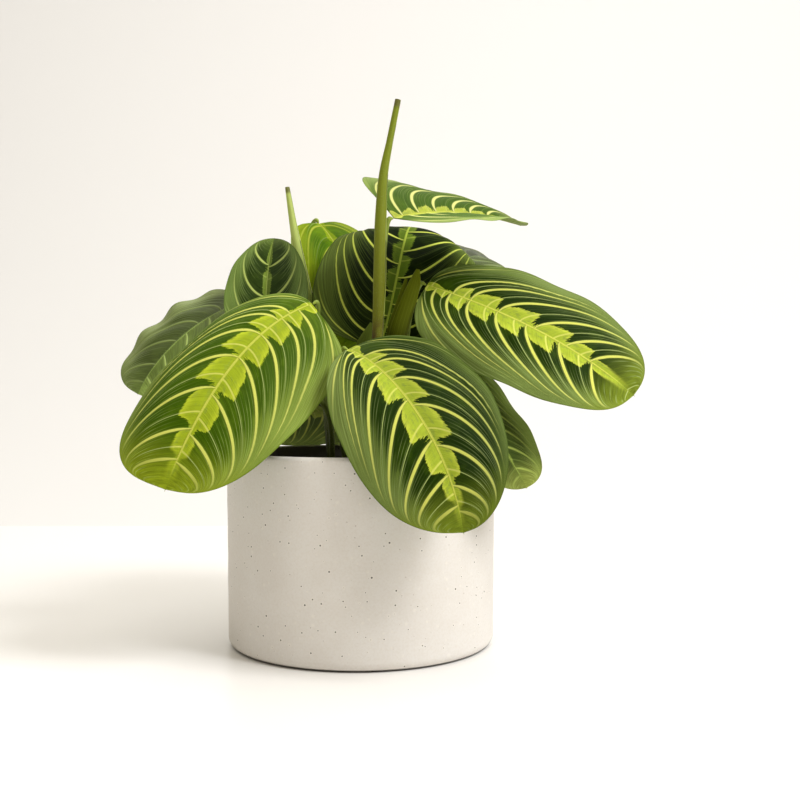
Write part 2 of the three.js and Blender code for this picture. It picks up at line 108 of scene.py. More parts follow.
class Finish:
    """A material being mixed. node() adds any shader node, and the rest are short ways to common ones."""

    def __init__(self, name):
        self.material = bpy.data.materials.new(name)
        self.material.use_nodes = True
        self.tree = self.material.node_tree
        self.tree.nodes.clear()

    def node(self, kind, settings=None, sockets=None, output=0):
        """Adds a node: its settings first, then the values or links of its sockets. Returns an output."""
        made = self.tree.nodes.new(kind)
        for key, setting in (settings or {}).items():
            setattr(made, key, setting)
        for key, fed in (sockets or {}).items():
            fed = fed.socket if isinstance(fed, Value) else fed
            if isinstance(fed, bpy.types.NodeSocket):
                self.tree.links.new(fed, made.inputs[key])
            else:
                made.inputs[key].default_value = fed
        return made.outputs[output] if made.outputs else None

    def value(self, kind, settings=None, sockets=None, output=0):
        return Value(self, self.node(kind, settings, sockets, output))

    def place(self):
        """Where a point of the surface is on the object, in metres."""
        return self.node("ShaderNodeTexCoord", output="Object")

    def flat_place(self, name):
        """The two numbers of one of the piece's own maps."""
        return self.parts(self.node("ShaderNodeUVMap", {"uv_map": name}))[:2]

    def parts(self, vector):
        """A vector's three numbers."""
        split = self.node("ShaderNodeSeparateXYZ", None, {0: vector}).node
        return [Value(self, output) for output in split.outputs]

    def noise(self, place, scale, detail, roughness=0.5):
        """Cloudy noise about 0.5."""
        sockets = {"Vector": place, "Scale": scale, "Detail": detail, "Roughness": roughness}
        return self.value("ShaderNodeTexNoise", None, sockets)

    def flat_noise(self, x, y, detail, roughness=0.5):
        """Noise over two numbers, such as those of a piece's own map."""
        return self.noise(self.node("ShaderNodeCombineXYZ", None, {0: x, 1: y}), 1, detail, roughness)

    def mix(self, share, first, second):
        """A colour between two, by the share of the second."""
        return self.node("ShaderNodeMix", {"data_type": "RGBA"}, {0: share, 6: first, 7: second}, 2)

    def layered(self, color, *layers):
        """A colour with others laid over it in turn, each by its own share."""
        for share, laid in layers:
            color = self.mix(share, color, laid)
        return color

    def shade(self, color, strength):
        """A colour made lighter or darker: its value times the strength."""
        return self.node("ShaderNodeHueSaturation", None, {"Color": color, "Value": strength})

    def bump(self, height, distance, strength=1):
        sockets = {"Height": height, "Distance": distance, "Strength": strength}
        return self.node("ShaderNodeBump", None, sockets)

    def surface(self, color, roughness, bump=None, shine=0.5):
        """The surface shader. Shine is how much it mirrors straight on: 0.5 is usual, and 0 is none."""
        sockets = {"Base Color": color, "Roughness": roughness, "Specular IOR Level": shine}
        if bump is not None:
            sockets["Normal"] = bump
        return self.node("ShaderNodeBsdfPrincipled", None, sockets)

    def done(self, shader):
        self.node("ShaderNodeOutputMaterial", None, {"Surface": shader})
        return self.material


def paint(red, green, blue):
    """A colour as seen on a screen, 0 to 255, turned into the light that a shader wants."""
    share = np.array([red, green, blue]) / 255
    light = np.where(share <= 0.04045, share / 12.92, ((share + 0.055) / 1.055) ** 2.4)
    return (*light.tolist(), 1)


def cells(rows, columns, closed=False):
    """Two triangles for each cell of a grid of points, as point numbers.

    closed joins the last column to the first.
    """
    i, j = np.meshgrid(np.arange(rows - 1), np.arange(columns - (not closed)), indexing="ij")
    a, b = i * columns + j, i * columns + (j + 1) % columns
    return np.stack([a, b, b + columns, a, b + columns, a + columns], -1).reshape(-1, 3)


def piece(name, points, triangles, materials, maps=None, parts=None, crease=60):
    """A mesh object of triangles. Equal points are joined, and a triangle that has two of them is dropped.

    maps holds two numbers for each point, by the map's name, and parts each triangle's material number.
    """
    rounded = np.round(points / WELD_DISTANCE)
    _, kept, number = np.unique(rounded, axis=0, return_index=True, return_inverse=True)
    welded = number.reshape(-1)[triangles]
    whole = (welded != np.roll(welded, 1, axis=1)).all(axis=1)
    welded, corners = welded[whole], triangles[whole].reshape(-1)
    mesh = bpy.data.meshes.new(name)
    mesh.vertices.add(len(kept))
    mesh.vertices.foreach_set("co", points[kept].astype(np.float32).reshape(-1))
    mesh.loops.add(welded.size)
    mesh.loops.foreach_set("vertex_index", welded.reshape(-1).astype(np.int32))
    mesh.polygons.add(len(welded))
    mesh.polygons.foreach_set("loop_start", np.arange(0, welded.size, 3, dtype=np.int32))
    if parts is not None:
        mesh.polygons.foreach_set("material_index", parts[whole].astype(np.int32))
    mesh.update(calc_edges=True)
    for key, chart in (maps or {}).items():
        mesh.uv_layers.new(name=key).uv.foreach_set("vector", chart[corners].astype(np.float32).reshape(-1))
    mesh.shade_smooth()
    mesh.set_sharp_from_angle(angle=math.radians(crease))
    for material in materials:
        mesh.materials.append(material)
    made = bpy.data.objects.new(name, mesh)
    bpy.context.scene.collection.objects.link(made)
    return made


def arc(across, up, radius, start, end, steps):
    """Points of a circle's arc, as distance from the axis and height, between two angles in degrees."""
    angle = np.radians(np.linspace(start, end, steps + 1))
    return np.stack([across + radius * np.cos(angle), up + radius * np.sin(angle)], -1)


def straight(first, second, steps):
    """Points between two, without the two themselves."""
    share = np.linspace(0, 1, steps + 1)[1:-1, None]
    return np.array(first) * (1 - share) + np.array(second) * share


def pot_points():
    """The pot's profile turned about the axis, with the faint rings that a thrower's fingers leave."""
    lip = POT_WALL / 2
    foot = arc(POT_BASE_RADIUS - POT_FOOT_ROUND, POT_FOOT_ROUND, POT_FOOT_ROUND, -90, 0, steps=10)
    rim = arc(POT_TOP_RADIUS - lip, POT_HEIGHT - lip, lip, 0, 180, steps=14)
    inner = POT_BASE_RADIUS - POT_WALL - POT_INNER_ROUND
    bowl = arc(inner, POT_FLOOR + POT_INNER_ROUND, POT_INNER_ROUND, 0, -90, steps=6)
    base = straight([0, 0], foot[0], steps=6)
    outer_wall = straight(foot[-1], rim[0], steps=40)
    inner_wall = straight(rim[-1], bowl[0], steps=12)
    profile = np.concatenate([[[0, 0]], base, foot, outer_wall, rim, inner_wall, bowl, [[0, POT_FLOOR]]])
    angle = np.linspace(0, 2 * np.pi, POT_SEGMENTS, endpoint=False)[None, :]
    radius, height = profile[:, :1], profile[:, 1:]
    on_wall = (radius > POT_BASE_RADIUS - POT_WALL / 2) * np.sin(np.pi * np.clip(height / POT_HEIGHT, 0, 1))
    rings = np.sin(height / FINE_RINGS + 0.8 * np.sin(angle))
    rings = rings + 0.7 * np.sin(height / COARSE_RINGS + 2 * angle)
    radius = radius - THROWING_WOBBLE * on_wall * (1 + 0.5 * rings)
    points = np.stack([radius * np.cos(angle), radius * np.sin(angle), height + 0 * angle], -1)
    return points.reshape(-1, 3), cells(len(profile), POT_SEGMENTS, closed=True)


GLAZE_DEEP = paint(230, 225, 217)
GLAZE_PALE = paint(234, 230, 223)
GLAZE_GRAIN = paint(215, 206, 190)
SPECK = paint(47, 38, 30)
FAINT_SPECK = paint(140, 122, 98)
SPECK_HALO = paint(246, 241, 230)
# Painted shade for the wall inside the pot
PAINTED_INNER_SHADE = paint(44, 36, 26)


def glaze():
    finish = Finish("speckled_glaze")
    place = finish.place()

    def specks(size, dot, share):
        """Dots in a share of a jittered grid's cells: how many radii away one is, and 1 if it is there."""
        cell = finish.node("ShaderNodeTexVoronoi", None, {"Vector": place, "Scale": 1 / size})
        luck = finish.node("ShaderNodeSeparateColor", None, {0: cell.node.outputs["Color"]}).node
        radius = Value(finish, luck.outputs[0]) * 0.7 + 0.5
        present = Value(finish, luck.outputs[1]).rise(share + 0.01, share)
        away = Value(finish, cell.node.outputs["Distance"]) * size / (radius * dot)
        return away, present

    away, present = specks(size=3.9 * MM, dot=0.47 * MM, share=0.9)
    dark = away.rise(1, 0.6) * present
    halo = away.rise(2.6, 1.1) * present
    away, present = specks(size=3.4 * MM, dot=0.3 * MM, share=0.8)
    faint = away.rise(1, 0.5) * present
    cloud = finish.noise(place, 45, 3)
    grain = finish.noise(place, 900, 2)

    # Painted shade darkens the wall inside, up to the middle of the lip
    x, y, z = finish.parts(place)
    radius = (x * x + y * y) ** 0.5
    inside = radius.rise(POT_TOP_RADIUS - 0.5 * POT_WALL, POT_TOP_RADIUS - 0.8 * POT_WALL)
    painted_shade_height = z.rise(POT_HEIGHT + 0.2 * MM, POT_HEIGHT - 1 * MM)
    color = finish.layered(
        GLAZE_DEEP,
        (cloud.rise(0.3, 0.7), GLAZE_PALE),
        (grain.rise(0.35, 0.8) * 0.25, GLAZE_GRAIN),
        (halo * 0.4, SPECK_HALO),
        (faint * 0.55, FAINT_SPECK),
        (dark * 0.92, SPECK),
        (inside * painted_shade_height * 0.9, PAINTED_INNER_SHADE),
    )
    bump = finish.bump(0.25 * grain + 0.5 * cloud - 0.8 * dark + 0.25 * halo, 0.15 * MM, strength=0.5)
    roughness = 0.5 + 0.12 * grain - 0.08 * dark
    return finish.done(finish.surface(color, roughness, bump, shine=0.4))


points, triangles = pot_points()
pot = piece("pot_glazed", points, triangles, [glaze()], crease=40)
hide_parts("pot")
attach(pot, "root")


# Soil. Dark peat with bark crumbs fills the pot to a finger's width below the lip. It is domed a little
# in the middle, and each stalk has a small heap of it round its foot.

SOIL_LEVEL = 90 * MM
SOIL_CROWN = 3 * MM
SOIL_CLEARANCE = 0.6 * MM
SOIL_FLOOR_GAP = 0.3 * MM
SOIL_EDGE_DROP = 1 * MM
SOIL_RINGS = 90
SOIL_SEGMENTS = 220
SOIL_RING_EASE = 0.75
CRUMBS = 700
CRUMB_SEED = 5
CRUMB_WIDTHS = (1.2 * MM, 3.2 * MM)
CRUMB_HEIGHTS = (-0.6 * MM, 1.5 * MM)
CRUMB_FREE_EDGE = 3 * MM
HEAP_HEIGHT = 1.2 * MM
HEAP_SPREAD = 4 * MM
PEAT_DARK = paint(20, 15, 11)
PEAT_PALE = paint(56, 42, 30)
PEAT_BARK = paint(84, 62, 42)
PEAT_FIBRE = paint(104, 82, 58)


def foot_of(name):
    """Where a stalk stands: the middle of its CAD node's lowest millimetre."""
    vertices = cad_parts[name].data.vertices
    points = np.empty(len(vertices) * 3)
    vertices.foreach_get("co", points)
    points = points.reshape(-1, 3)
    return points[points[:, 2] < points[:, 2].min() + 1 * MM].mean(axis=0)


def soil_points(feet):
    """A disc of rings that turns down at the pot's wall and closes under it.

    The top is a dome, plus crumbs and hollows of two sizes, each a bell at a seeded place, plus a heap at
    each foot.
    """
    bottom = POT_FLOOR + SOIL_FLOOR_GAP
    wall = POT_BASE_RADIUS - POT_WALL - SOIL_CLEARANCE
    edge = wall + (POT_TOP_RADIUS - POT_BASE_RADIUS) * SOIL_LEVEL / POT_HEIGHT
    angle = np.linspace(0, 2 * np.pi, SOIL_SEGMENTS, endpoint=False)[None, :]
    radius = edge * np.linspace(0, 1, SOIL_RINGS)[:, None] ** SOIL_RING_EASE
    x, y = radius * np.cos(angle), radius * np.sin(angle)
    top = SOIL_LEVEL + SOIL_CROWN * (1 - (radius / edge) ** 2) + 0 * angle
    chance = np.random.default_rng(CRUMB_SEED)
    for size, share in ((1, 1), (0.45, 0.5)):
        spot = chance.uniform(-edge, edge, (CRUMBS, 2))
        width = size * chance.uniform(*CRUMB_WIDTHS, CRUMBS)
        height = share * chance.uniform(*CRUMB_HEIGHTS, CRUMBS)
        away = (x[..., None] - spot[:, 0]) ** 2 + (y[..., None] - spot[:, 1]) ** 2
        bells = (height * np.exp(-away / width ** 2)).sum(-1)
        top = top + bells * np.clip((edge - radius) / CRUMB_FREE_EDGE, 0, 1)
    for foot in feet:
        away = (x - foot[0]) ** 2 + (y - foot[1]) ** 2
        top = top + HEAP_HEIGHT * np.exp(-away / HEAP_SPREAD ** 2)
    upper = np.stack([x, y, top], -1)
    radius = np.array([edge, wall, wall - POT_INNER_ROUND, 0])[:, None]
    height = np.array([SOIL_LEVEL - SOIL_EDGE_DROP, bottom + POT_INNER_ROUND, bottom, bottom])[:, None]
    lower = np.stack([radius * np.cos(angle), radius * np.sin(angle), height + 0 * angle], -1)
    points = np.concatenate([upper, lower])
    return points.reshape(-1, 3), cells(len(points), SOIL_SEGMENTS, closed=True)[:, ::-1]


def peat():
    finish = Finish("peat")
    place = finish.place()
    clump = finish.noise(place, 160, 6, 0.65)
    fibre = finish.noise(place, 700, 3, 0.6)
    bark = finish.value("ShaderNodeTexVoronoi", None, {"Vector": place, "Scale": 260}, "Color")
    color = finish.layered(
        PEAT_DARK,
        (clump.rise(0.35, 0.7), PEAT_PALE),
        (bark.rise(0.72, 0.8) * 0.7, PEAT_BARK),
        (fibre.rise(0.62, 0.75) * 0.5, PEAT_FIBRE),
    )
    bump = finish.bump(clump + 0.5 * fibre, 1.2 * MM)
    return finish.done(finish.surface(color, 0.92, bump, shine=0.2))


stalk_nodes = [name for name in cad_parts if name.startswith("stalk_")]
points, triangles = soil_points([foot_of(name) for name in stalk_nodes])
soil = piece("soil_peat", points, triangles, [peat()], crease=80)
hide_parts("soil")
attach(soil, "root")


# Stalks. Each leaf stands on a round green stalk from the soil, and runs into its blade's midrib through a
# paler joint, which lifts the leaf at night. Fine hairs give the stalk a pale bloom.

STALK_RADIUS = 1.5 * MM
STALK_TAPER = 0.14
STALK_SIDES = 14
STALK_STEPS = 90
FOOT_DEPTH = 8 * MM
FOOT_RISE = 2 * MM
NECK = 3 * MM
GAP = 0.3 * MM
JOINT_LENGTH = 18 * MM
JOINT_TAPER = 0.62
STALK_LOW = paint(70, 76, 30)
STALK_HIGH = paint(134, 152, 58)
JOINT_GREEN = paint(150, 170, 60)
STALK_BLOOM = paint(214, 222, 170)

# For each leaf, in millimetres and degrees. midrib: four points that the midrib's cubic passes through,
# base first. width: across the blade. widest: where each half is widest along the midrib, left half
# first, seen from above with the tip away. blunt: how square the base and the tip of each half are. face:
# which way the upper side looks at the base and at the tip. lift: how steeply each half leaves the
# midrib. droop: how far each half then curls down by its margin, at the base and at the tip. wave: the
# margin's ripple, its height, count and start. stalk: the stalk's foot and bends. veins: where the main
# veins of each half leave the midrib, as shares of its length. pale: painted light, how much lighter or
# darker each half is painted for how it is lit, where it isn't 1. dark: how much farther across each half
# its dark blotches reach.
USUAL_LEAF = dict(
    widest=(0.5, 0.5), blunt=((2.6, 2.4), (2.6, 2.4)), lift=(8, 8), droop=((35, 35), (35, 35)),
    wave=(1, 3, 0.3), pale=(1, 1), dark=(0, 0),
    veins=((0.08, 0.18, 0.29, 0.42, 0.56, 0.71, 0.86), (0.13, 0.235, 0.355, 0.49, 0.635, 0.785, 0.91)),
)


def grown(**own):
    """One leaf: the usual one, but for what is its own."""
    return {**USUAL_LEAF, **own}


LEAVES = {
    "front_left": grown(
        midrib=((-24, -22, 174), (-48, -44, 156), (-69, -62, 125), (-86, -76, 84)),
        width=89, widest=(0.42, 0.6), blunt=((3, 2.6), (2, 2.8)),
        face=((0.5, -0.6, 0.55), (-0.1, -0.9, 0.4)), lift=(6, 0), droop=((14, 6), (112, 38)),
        wave=(1, 3, 0.1), stalk=((-8, -12), (-14, -10, 125), (-22, -11, 158)),
        veins=((0.09, 0.19, 0.32, 0.46, 0.64, 0.80, 0.9), (0.14, 0.21, 0.32, 0.46, 0.61, 0.78, 0.89)),
        pale=(0.96, 1.02), dark=(0.02, 0.22),
    ),
    "front_centre": grown(
        midrib=((-5, -41, 150), (16, -62, 135), (36, -82, 106), (48, -94, 67)),
        width=76, widest=(0.42, 0.56), blunt=((3.2, 2), (2.1, 2.3)),
        face=((0.25, -0.7, 0.65), (-0.2, -0.95, 0.35)), lift=(4, 4), droop=((20, 24), (50, 25)),
        wave=(1, 3, 0.6), stalk=((-1, -19), (-2, -24, 120), (-4, -33, 141)),
        veins=((0.13, 0.21, 0.34, 0.49, 0.675, 0.83, 0.92), (0.06, 0.14, 0.28, 0.46, 0.65, 0.79, 0.9)),
        pale=(0.82, 1.08), dark=(0.26, -0.04),
    ),
    "right": grown(
        midrib=((34, -10, 185), (67, -24, 171), (101, -38, 152), (133, -48, 127)),
        width=68, widest=(0.46, 0.38), blunt=((2.1, 2.4), (2.2, 2.5)),
        face=((0, -0.8, 0.6), (0, -0.85, 0.45)), lift=(4, 0), droop=((22, 18), (50, 8)),
        stalk=((18, -4), (20, -5, 130), (23, -5, 150), (26, -3, 172)),
        veins=((0.14, 0.225, 0.36, 0.525, 0.67, 0.78), (0.056, 0.13, 0.225, 0.356, 0.49, 0.64, 0.79)),
        pale=(1.08, 1.25), dark=(0.08, -0.06),
    ),
    "top_right": grown(
        midrib=((17, -18, 218), (39, -2, 224), (64, 16, 226), (88, 33, 223)),
        width=80, widest=(0.28, 0.38), blunt=((2.3, 1.3), (2.4, 1.7)),
        face=((0.1, -0.3, 0.95), (0.1, -0.3, 0.95)), lift=(35, 4), droop=((16, 85), (0, 0)),
        wave=(0.8, 3, 0.3), stalk=((11, -10), (10, -11, 130), (10, -15, 165), (11.5, -16, 195)),
        veins=((0.08, 0.21, 0.34, 0.47, 0.59, 0.72, 0.86), (0.12, 0.26, 0.42, 0.6, 0.8)), pale=(0.88, 1.2),
        dark=(0.15, 0.1),
    ),
    "centre_back": grown(
        midrib=((9, 0, 152), (18, 22, 190), (25, 52, 224), (30, 82, 212)),
        width=92, widest=(0.44, 0.48), blunt=((2.6, 1.8), (2.6, 2.2)),
        face=((0.1, -0.8, 0.57), (0.05, -0.1, 1)), lift=(0, 0), droop=((5, 40), (10, 60)),
        stalk=((3, -5), (3, -5, 120), (6, -3, 140)), pale=(1.75, 2),
    ),
    "left_small": grown(
        midrib=((-49, -15, 161), (-50, -3, 178), (-50, 9, 198), (-49, 25, 215)),
        width=44, widest=(0.42, 0.42), blunt=((2.4, 1.7), (2.4, 1.8)),
        face=((0, -0.9, 0.5), (0, -0.7, 0.7)), lift=(5, 5), droop=((10, 10), (10, 10)), wave=(0.6, 3, 0.3),
        stalk=((-15, -4), (-18, -6, 120), (-36, -16, 142)),
        veins=((0.1, 0.36, 0.66), (0.1, 0.34, 0.64)), pale=(1.75, 0.97),
    ),
    "back_bright": grown(
        midrib=((-29, 82, 233), (-15, 77, 212), (-6, 75, 184), (-5, 78, 153)),
        width=68, widest=(0.4, 0.4), blunt=((3, 2.2), (3.5, 2.2)),
        face=((-0.1, -0.6, 0.7), (-0.1, -1, 0.2)), lift=(-22, 40), droop=((25, 25), (25, 25)),
        stalk=((-7, 20), (-9, 28, 130), (-26, 50, 156), (-44, 80, 180), (-45, 97, 208)),
        veins=((0.04, 0.28, 0.5, 0.75), (0.04, 0.24, 0.46, 0.7)), pale=(0.85, 1.1),
    ),
    "left_drooping": grown(
        midrib=((-62, 10, 178), (-84, 6, 168), (-104, 2, 150), (-118, 0, 128)),
        width=51, widest=(0.5, 0.6), blunt=((2.6, 2.4), (2.6, 2.8)),
        face=((-0.1, -0.75, 0.65), (-0.3, -0.8, 0.4)), lift=(4, 4), droop=((15, 15), (25, 25)),
        wave=(2.2, 4, 0.3), stalk=((-17, 5), (-20, 5, 125), (-38, 5, 163)),
        veins=((0.12, 0.3, 0.48, 0.68, 0.86), (0.2, 0.38, 0.56, 0.76, 0.9)), pale=(3.1, 1.6),
    ),
    "right_low": grown(
        midrib=((41, -15, 151), (54, -28, 129), (68, -40, 106), (81, -50, 83)),
        width=45, widest=(0.55, 0.6), blunt=((2.6, 2.2), (2.6, 2.2)),
        face=((0.35, -0.85, 0.5), (0.35, -0.85, 0.3)), lift=(4, 8), droop=((30, 25), (8, 5)),
        stalk=((20, -14), (22, -13, 120), (31, -9, 150)), pale=(3, 2.3),
    ),
    "back_right": grown(
        midrib=((48, 64, 196), (66, 82, 213), (82, 95, 207), (97, 106, 188)),
        width=60, widest=(0.45, 0.5), blunt=((2.6, 2.2), (2.6, 2.2)),
        face=((0.1, -0.45, 0.93), (0.1, -0.35, 0.93)), lift=(4, 4), droop=((5, 5), (15, 15)),
        stalk=((14, 22), (16, 24, 130), (24, 34, 165), (38, 52, 182)), pale=(0.75, 1.6),
    ),
    "rear_left": grown(
        midrib=((-4, 44, 142), (-12, 72, 142), (-20, 102, 126), (-28, 124, 96)), width=60,
        face=((-0.1, 0, 1), (-0.3, 0.6, 0.6)), stalk=((0, 26), (-1, 28, 115), (-3, 34, 137)),
    ),
    "rear_right": grown(
        midrib=((22, 42, 158), (32, 68, 160), (42, 96, 142), (48, 116, 110)), width=54,
        face=((0.1, 0, 1), (0.2, 0.6, 0.6)), stalk=((7, 26), (9, 28, 125), (15, 31, 148)),
    ),
    "far_left": grown(
        midrib=((-30, 24, 158), (-58, 34, 158), (-84, 42, 140), (-104, 48, 110)), width=62,
        face=((0, 0.1, 1), (-0.6, 0.2, 0.6)), stalk=((-18, 14), (-20, 14, 120), (-23, 17, 145)),
    ),
    "far_right": grown(
        midrib=((38, 38, 168), (64, 52, 176), (88, 62, 168), (108, 70, 146)), width=48,
        face=((-0.1, -0.1, 1), (0.4, 0, 0.8)), droop=((30, 30), (30, 30)),
        stalk=((20, 8), (22, 10, 120), (30, 24, 150)),
    ),
    "low_left": grown(
        midrib=((-6, 49, 114), (-25, 61, 119), (-44, 69, 114), (-60, 72, 101)),
        width=56, widest=(0.45, 0.38), blunt=((2.6, 2.2), (3, 2.2)),
        face=((0, 0.5, 0.85), (-0.3, 0.6, 0.7)), lift=(4, 4), droop=((20, 20), (50, 50)),
        wave=(0.8, 3, 0.3), stalk=((-4, 36), (-3, 39, 104)),
    ),
    "low_right": grown(
        midrib=((28, 28, 116), (46, 40, 121), (64, 50, 114), (78, 58, 98)),
        width=40, blunt=((2.6, 2.2), (2.6, 2.2)),
        face=((0.2, 0.3, 0.9), (0.4, 0.3, 0.8)), lift=(6, 6), droop=((25, 25), (25, 25)),
        wave=(0.8, 3, 0.3), stalk=((22, 24), (23, 25, 106)),
    ),
}


def midrib_at(leaf, station):
    """Points of the cubic through the midrib's four points, which it passes at 0, 1/3, 2/3 and 1.

    Each of the four has a weight that is 1 at its own place and 0 at the places of the others.
    """
    t = 3 * np.asarray(station, float)[..., None]
    weights = [math.prod((t - n) / (m - n) for n in range(4) if n != m) for m in range(4)]
    return sum(weight * np.array(point) * MM for weight, point in zip(weights, leaf["midrib"]))


def unit(vectors):
    """Each vector over its own length."""
    return vectors / np.linalg.norm(vectors, axis=-1, keepdims=True)


def midrib_direction(leaf, station):
    """Which way the midrib runs: from a point of it just behind to one just ahead."""
    step = 1e-3
    ahead, behind = np.minimum(np.add(station, step), 1), np.maximum(np.subtract(station, step), 0)
    return unit(midrib_at(leaf, ahead) - midrib_at(leaf, behind))


def smooth_path(points, steps):
    """A curve through the points, as places and directions. It is slower where the points are close.

    On each stretch it is a cubic whose end slopes weigh the neighbouring stretches by the square root of
    their lengths.
    """
    points = np.asarray(points, float)
    points = np.concatenate([[2 * points[0] - points[1]], points, [2 * points[-1] - points[-2]]])
    span = np.linalg.norm(np.diff(points, axis=0), axis=1) ** 0.5
    place = np.linspace(0, len(points) - 3, steps + 1)
    k = np.minimum(place.astype(int), len(points) - 4)
    t = (place - k)[:, None]
    p0, p1, p2, p3 = (points[k + n] for n in range(4))
    s0, s1, s2 = (span[k + n][:, None] for n in range(3))
    slope1 = ((p1 - p0) / s0 - (p2 - p0) / (s0 + s1) + (p2 - p1) / s1) * s1
    slope2 = ((p2 - p1) / s1 - (p3 - p1) / (s1 + s2) + (p3 - p2) / s2) * s1
    cubics = [(2, -3, 0, 1), (1, -2, 1, 0), (-2, 3, 0, 0), (1, -1, 0, 0)]
    weighed = list(zip(cubics, (p1, slope1, p2, slope2)))
    curve = sum(np.polyval(cubic, t) * term for cubic, term in weighed)
    slope = sum(np.polyval(np.polyder(cubic), t) * term for cubic, term in weighed)
    return curve, unit(slope)


def tube(path, direction, sides, outline):
    """A tube whose two ends are closed on the path, with its map: the angle's share and the way's share.

    outline gives the rings' points, along X and across it, from the share of the way and the angle.
    """
    way = np.linspace(0, 1, len(path))[:, None]
    angle = np.linspace(0, 2 * np.pi, sides + 1)[None, :]
    first = unit(np.array([1, 0, 0]) - direction * direction[:, :1])
    second = np.cross(direction, first)
    along, across = outline(way, angle)
    rings = path[:, None] + along[..., None] * first[:, None] + across[..., None] * second[:, None]
    rings[:, -1] = rings[:, 0]
    ends = [np.repeat(path[k][None, None], sides + 1, axis=1) for k in (0, -1)]
    points = np.concatenate([ends[0], rings, ends[1]])
    share = np.stack(np.broadcast_arrays(angle / (2 * np.pi), way), -1)
    share = np.concatenate([share[:1], share, share[-1:]])
    return points.reshape(-1, 3), cells(len(points), sides + 1), share.reshape(-1, 2)


def from_soil(shoot):
    """A shoot's points in metres: one below the soil's dome, one above it, and then the listed ones."""
    x, y = np.multiply(shoot[0], MM)
    wall = POT_TOP_RADIUS - POT_WALL - GAP
    ground = SOIL_LEVEL + SOIL_CROWN * (1 - (x ** 2 + y ** 2) / wall ** 2)
    return np.array([(x, y, ground - FOOT_DEPTH), (x, y, ground + FOOT_RISE), *np.multiply(shoot[1:], MM)])


def stalk_path(leaf):
    """From the foot in the soil, up through the stalk's bends, to the blade's base, end on."""
    base, along = midrib_at(leaf, 0), midrib_direction(leaf, 0)
    return np.array([*from_soil(leaf["stalk"]), base - NECK * along, base - GAP * along])


def stalk_outline(length):
    """A circle that shrinks a little upwards, and then over the joint's length to the rib's width."""
    def outline(way, angle):
        joint = np.clip((way - 1) * length / JOINT_LENGTH + 1, 0, 1)
        radius = STALK_RADIUS * (1 - STALK_TAPER * way - JOINT_TAPER * joint)
        return radius * np.cos(angle), radius * np.sin(angle)
    return outline


def stalk_green():
    finish = Finish("stalk_green")
    round_way, up_way = finish.flat_place("skin")
    streak = finish.flat_noise(round_way * 14, up_way * 5, 3)
    hairs = finish.noise(finish.place(), 2600, 1)
    color = finish.mix(up_way.rise(0.1, 0.7), STALK_LOW, STALK_HIGH)
    color = finish.mix(up_way.rise(0.86, 0.93), color, JOINT_GREEN)
    color = finish.shade(color, 0.82 + 0.36 * streak)
    color = finish.mix(hairs.rise(0.6, 0.75) * 0.25, color, STALK_BLOOM)
    bump = finish.bump(streak + 0.6 * hairs, 0.12 * MM)
    return finish.done(finish.surface(color, 0.5, bump, shine=0.25))


stalk_finish = stalk_green()
for name, leaf in LEAVES.items():
    path, direction = smooth_path(stalk_path(leaf), STALK_STEPS)
    length = np.linalg.norm(np.diff(path, axis=0), axis=1).sum()
    points, triangles, share = tube(path, direction, STALK_SIDES, stalk_outline(length))
    stalk = piece(f"stalk_round_{name}", points, triangles, [stalk_finish], {"skin": share}, crease=70)
    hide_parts(f"stalk_{name}")
    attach(stalk, "root")


# Rolled leaves. Two new leaves stand up still rolled into a spear. Each is one blade wound on itself: its
# outer edge runs down the spear as a fine step with a pale border, and its tip is pinched to a knob.

ROLLED_SIDES = 48
ROLLED_STEPS = 140
OVERLAP_STEP = 0.1
# Painted shade for the groove beside the overlap's step
ROLLED_GROOVE_SHADE = paint(52, 62, 24)
ROLLED_BLUSH = paint(70, 38, 22)
ROLLED_TIP = paint(96, 92, 46)
ROLLED_BLOOM = paint(206, 214, 160)
ROLLED = {
    "rolled_leaf_tall": dict(
        path=((6, -18), (7, -20, 120), (9, -23, 160), (10, -24, 187), (10.5, -24, 215), (12, -24, 239),
              (15, -24, 255), (19.3, -24, 276.5)),
        half=((2.2, 2.2), (2.2, 2.2), (2.4, 2.4), (2.9, 2.9), (3.4, 3.1), (3.1, 2.9), (2.4, 2.3),
              (1.8, 1.8), (1.6, 1.6)),
        greens=(paint(104, 106, 10), paint(124, 136, 30), paint(184, 196, 92)),
        seam=0.93, twist=0.12, slot="rolled",
    ),
    "rolled_leaf_small": dict(
        path=((-8, 9), (-10, 12, 120), (-20, 24, 150), (-30, 29, 180), (-36, 30, 205), (-39, 30, 222),
              (-42.5, 30, 244)),
        half=((1.6, 1.6), (1.6, 1.6), (1.8, 1.8), (2.3, 2.2), (3.1, 2.6), (3, 2.6), (2.2, 2), (1.3, 1.3)),
        greens=(paint(140, 160, 56), paint(182, 198, 104), paint(212, 222, 140)),
        seam=0.9, twist=0.1, slot="young",
    ),
}


def half_at(half, way):
    """Half widths along X and across it, straight between the listed ones."""
    marks = np.linspace(0, 1, len(half))
    return [np.interp(way, marks, np.multiply(listed, MM)) for listed in zip(*half)]


def rolled_outline(rolled):
    """An oval that shrinks round its turn by the overlap's step, from a seam that twists on its way up."""
    def outline(way, angle):
        wide, deep = half_at(rolled["half"], way)
        turn = (angle / (2 * np.pi) - rolled["seam"] - rolled["twist"] * way) % 1
        step = 1 - OVERLAP_STEP * turn
        return wide * step * np.cos(angle), deep * step * np.sin(angle)
    return outline


